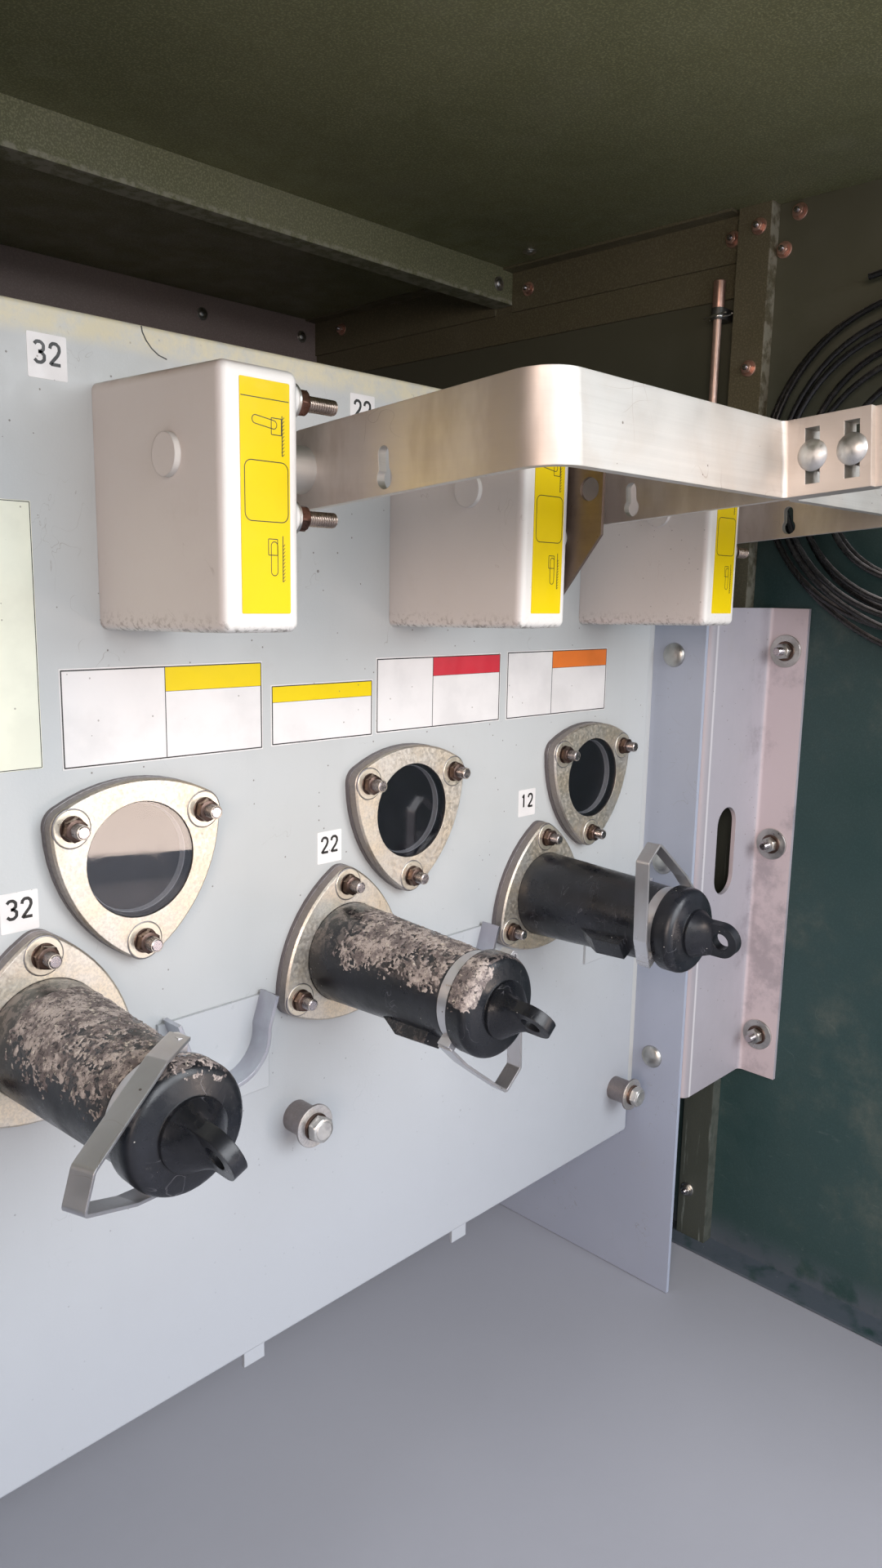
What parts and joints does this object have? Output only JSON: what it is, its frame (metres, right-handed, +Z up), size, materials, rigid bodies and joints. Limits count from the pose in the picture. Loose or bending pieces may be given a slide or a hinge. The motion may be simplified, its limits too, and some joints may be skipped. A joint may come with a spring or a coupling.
{
  "type": "pad-mounted switchgear",
  "caption": "Open-front outdoor switchgear cabinet: grey tank with ganged swinging handles, round windows, capped bushings and parking stands inside a green steel housing.",
  "frame": {"origin": "on the floor at the middle of the cabinet, in the plane of the tank's front plate", "axes": "+X along the row of phases, to the right seen from the open front; +Y into the tank, away from the open front; +Z up"},
  "size_m": [1.852, 1.506, 1.22],
  "materials": {
    "enclosure_paint": "satin dark green enamel, scratched and dusty",
    "tank_paint": "light grey epoxy paint with fine dark specks",
    "bracket_paint": "light grey paint, dirty",
    "handle_stainless": "scratched rolled stainless strap",
    "fastener_steel": "stainless with a brown film",
    "flange_stainless": "dull cast stainless",
    "window_glass": "thick glass over a dark chamber",
    "cap_rubber": "black moulded rubber, dusty",
    "strap_stainless": "bent stainless sheet",
    "rod_copper": "dull copper",
    "clip_steel": "galvanised, dull",
    "cable_black": "smooth black cable jacket"
  },
  "bodies": {
    "cabinet": {"side_wall_right": "enclosure_paint", "side_wall_left": "enclosure_paint", "back_wall": "enclosure_paint", "roof": "enclosure_paint", "roof_beam": "enclosure_paint", "top_rails": "enclosure_paint", "wall_posts": "enclosure_paint", "tank": "tank_paint", "front_plate": "tank_paint", "leg_right": "tank_paint", "leg_left": "tank_paint", "housing_c1": "tank_paint", "housing_b1": "tank_paint", "housing_a1": "tank_paint", "housing_c2": "tank_paint", "housing_b2": "tank_paint", "housing_a2": "tank_paint", "wall_bracket_right": "bracket_paint", "wall_bracket_left": "bracket_paint", "ground_bosses": "fastener_steel", "window_flanges_1": "flange_stainless", "window_flanges_2": "flange_stainless", "bushing_flanges_1": "flange_stainless", "bushing_flanges_2": "flange_stainless", "flange_pads": "flange_stainless", "window_glasses": "window_glass", "caps_1": "cap_rubber", "caps_2": "cap_rubber", "cap_bails_1": "strap_stainless", "cap_bails_2": "strap_stainless", "parking_stands_1": "strap_stainless", "parking_stands_2": "strap_stainless", "lock_plates": "strap_stainless", "prop_rod": "rod_copper", "prop_rod_clips": "clip_steel", "coil_hook": "clip_steel", "cable_coil": "cable_black"},
    "handle_1": {"handle_arm_1": "handle_stainless", "handle_link_left_1": "handle_stainless", "handle_link_right_1": "handle_stainless", "handle_bolts_1": "fastener_steel"},
    "handle_2": {"handle_arm_2": "handle_stainless", "handle_link_left_2": "handle_stainless", "handle_link_right_2": "handle_stainless", "handle_bolts_2": "fastener_steel"}
  },
  "joints": [
    {"name": "handle_swing_1", "type": "hinge", "parent": "cabinet", "child": "handle_1", "pos_m": [-0.2785, -0.086, 0.877], "axis": [1, 0, 0], "range_deg": [-85, 0]},
    {"name": "handle_swing_2", "type": "hinge", "parent": "cabinet", "child": "handle_2", "pos_m": [0.4835, -0.086, 0.877], "axis": [1, 0, 0], "range_deg": [0, 85]}
  ]
}
